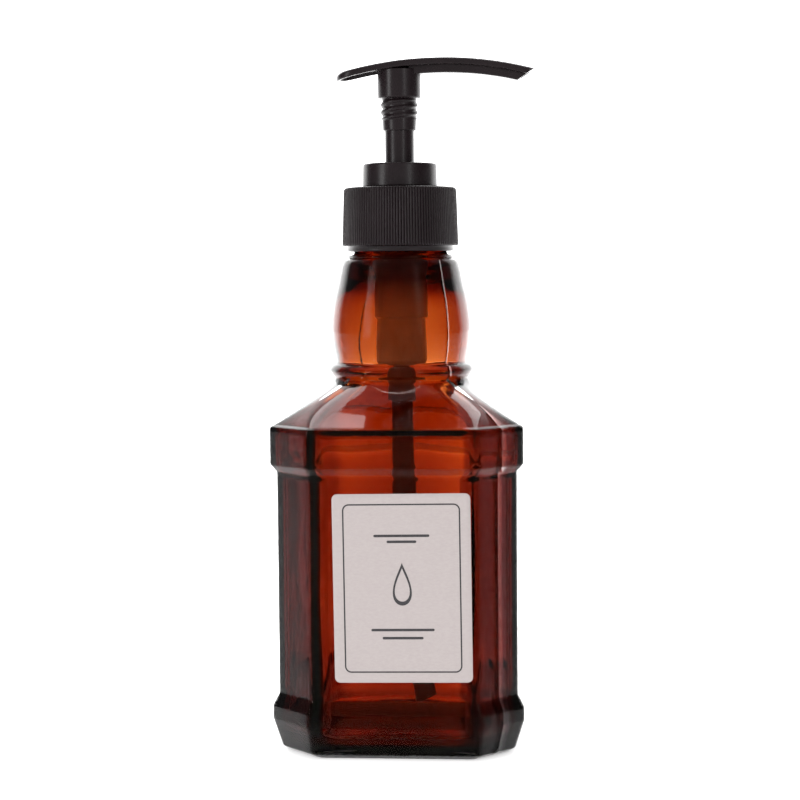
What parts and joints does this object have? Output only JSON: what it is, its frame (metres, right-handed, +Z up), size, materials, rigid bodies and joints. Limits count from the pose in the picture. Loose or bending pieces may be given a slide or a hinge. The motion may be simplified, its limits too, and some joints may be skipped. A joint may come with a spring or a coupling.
{
  "type": "soap pump dispenser",
  "caption": "Square glass bottle with a bulbous neck, blank paper label, ribbed screw collar and a lotion pump with an arched spout head.",
  "frame": {"origin": "centre of the bottle's base, on the surface that it stands on", "axes": "+Z up along the neck's axis, the label faces -Y, and the spout points along +X at rest"},
  "size_m": [0.0726, 0.0694, 0.1908],
  "materials": {
    "amber_glass": "clear amber soda-lime glass, fire-polished, small seeds",
    "label_paper": "smooth uncoated white paper, blank",
    "black_plastic": "moulded black polypropylene, satin",
    "gasket_foam": "white closed-cell foam washer",
    "housing_plastic": "natural polypropylene, slightly milky",
    "tube_plastic": "natural polyethylene tube",
    "ball_glass": "clear glass ball",
    "spring_steel": "drawn stainless wire",
    "rod_plastic": "natural polypropylene",
    "piston_plastic": "white low-density polyethylene"
  },
  "bodies": {
    "bottle": {"bottle": "amber_glass", "front_label": "label_paper"},
    "pump_unit": {"pump_housing": "housing_plastic", "chaplet": "black_plastic", "neck_gasket": "gasket_foam", "dip_tube": "tube_plastic"},
    "collar": {"ribbed_collar": "black_plastic"},
    "plunger": {"piston_rod": "rod_plastic", "return_spring": "spring_steel"},
    "head": {"stem": "black_plastic", "actuator_body": "black_plastic", "actuator_cover": "black_plastic"},
    "piston": {"piston": "piston_plastic"},
    "ball": {"check_ball": "ball_glass"}
  },
  "joints": [
    {"name": "collar_turn", "type": "hinge", "parent": "pump_unit", "child": "collar", "pos_m": [0, 0, 0.145], "axis": [0, 0, 1], "range_deg": [0, 541]},
    {"name": "unit_rise", "type": "slide", "parent": "bottle", "child": "pump_unit", "axis": [0, 0, 1], "range_m": [0, 0.00635]},
    {"name": "press", "type": "slide", "parent": "pump_unit", "child": "plunger", "axis": [0, 0, 1], "range_m": [-0.0118, 0], "stiffness_N_per_m": 600, "springref_m": 0.0127, "deforming": ["return_spring"]},
    {"name": "swivel", "type": "hinge", "parent": "plunger", "child": "head", "pos_m": [0, 0, 0.15], "axis": [0, 0, 1], "continuous": true},
    {"name": "piston_float", "type": "slide", "parent": "plunger", "child": "piston", "axis": [0, 0, 1], "range_m": [0, 0.0012]},
    {"name": "ball_lift", "type": "slide", "parent": "pump_unit", "child": "ball", "axis": [0, 0, 1], "range_m": [0, 0.0015]}
  ],
  "couplings": [
    {"joint": "collar_turn", "follows": "unit_rise", "rad_per_m": 1484.3}
  ]
}
